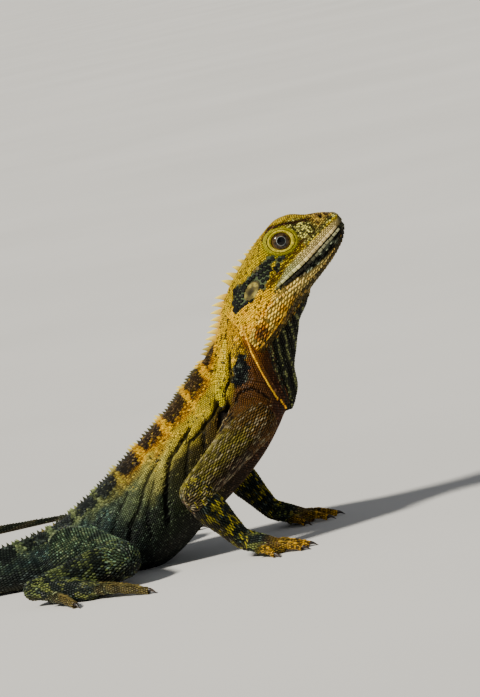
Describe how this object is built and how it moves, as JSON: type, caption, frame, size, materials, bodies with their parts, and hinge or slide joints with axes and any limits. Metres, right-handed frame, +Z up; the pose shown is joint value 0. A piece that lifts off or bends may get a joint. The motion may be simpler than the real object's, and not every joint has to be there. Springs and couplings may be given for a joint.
{
  "type": "water dragon lizard figure",
  "caption": "Life-size still figure of an adult water dragon lizard, propped on its forefeet with head raised, spiny crest, throat pouch and long curled tail.",
  "frame": {"origin": "on the floor, under the middle of the whole animal's bounding box", "axes": "+X the way the head faces and the longest extent, +Y the animal's left, +Z up"},
  "size_m": [0.3298, 0.2736, 0.1375],
  "materials": {
    "head_skin": "satin, small scales",
    "neck_skin": "satin, small scales",
    "body_skin": "satin, keeled scales",
    "tail_skin": "satin, keeled scales",
    "limb_skin": "satin, keeled scales",
    "pouch_skin": "satin, fine scales",
    "ear_drum": "smooth skin",
    "eye": "wet gloss"
  },
  "bodies": {
    "root": {"head": "head_skin", "neck": "neck_skin", "chest": "body_skin", "belly": "body_skin", "tail_root": "tail_skin", "tail_base": "tail_skin", "tail_upper": "tail_skin", "tail_middle": "tail_skin", "tail_lower": "tail_skin", "tail_tip": "tail_skin", "throat_pouch": "pouch_skin", "eye_right": "eye", "eye_left": "eye", "ear_right": "ear_drum", "ear_left": "ear_drum", "upper_arm_right": "limb_skin", "forearm_right": "limb_skin", "hand_right": "limb_skin", "thigh_right": "limb_skin", "shank_right": "limb_skin", "foot_right": "limb_skin", "upper_arm_left": "limb_skin", "forearm_left": "limb_skin", "hand_left": "limb_skin", "thigh_left": "limb_skin", "shank_left": "limb_skin", "foot_left": "limb_skin"}
  },
  "joints": []
}
